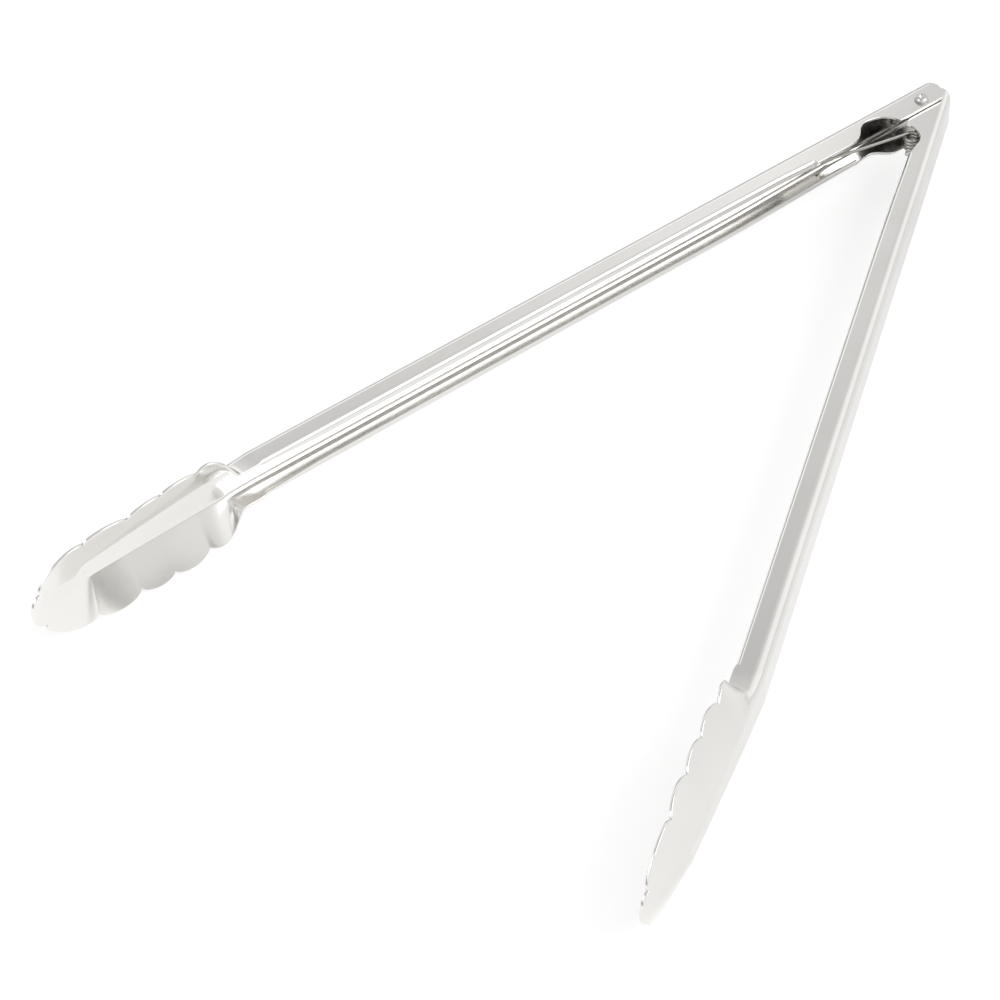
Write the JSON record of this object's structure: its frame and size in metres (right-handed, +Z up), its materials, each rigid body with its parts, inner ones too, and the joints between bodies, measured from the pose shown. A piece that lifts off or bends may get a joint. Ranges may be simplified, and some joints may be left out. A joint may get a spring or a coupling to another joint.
{
  "type": "kitchen tongs",
  "caption": "Spring-loaded stainless utility tongs with hemmed channel arms and scalloped scoop ends, opened by a torsion spring at the riveted hinge.",
  "frame": {"origin": "centre of the bounding box, on the surface that the tongs lie on", "axes": "+Z up along the hinge axis and across the handles, -Y from the hinge towards the scoops, +X towards the inner arm"},
  "size_m": [0.2222, 0.3932, 0.037],
  "materials": {
    "arm_steel": "smooth polished stainless sheet",
    "rivet_steel": "bright turned steel"
  },
  "bodies": {
    "outer_arm": {"outer_arm": "arm_steel", "pivot_rivet": "rivet_steel", "torsion_spring": "rivet_steel"},
    "inner_arm": {"inner_arm": "arm_steel"}
  },
  "joints": [
    {"name": "hinge", "type": "hinge", "parent": "outer_arm", "child": "inner_arm", "pos_m": [-0.00062, 0.18333, 0.01849], "axis": [0, 0, -1], "range_deg": [0, 31.8], "stiffness_Nm_per_rad": 0.35, "springref_deg": -34.38, "deforming": ["torsion_spring"]}
  ]
}
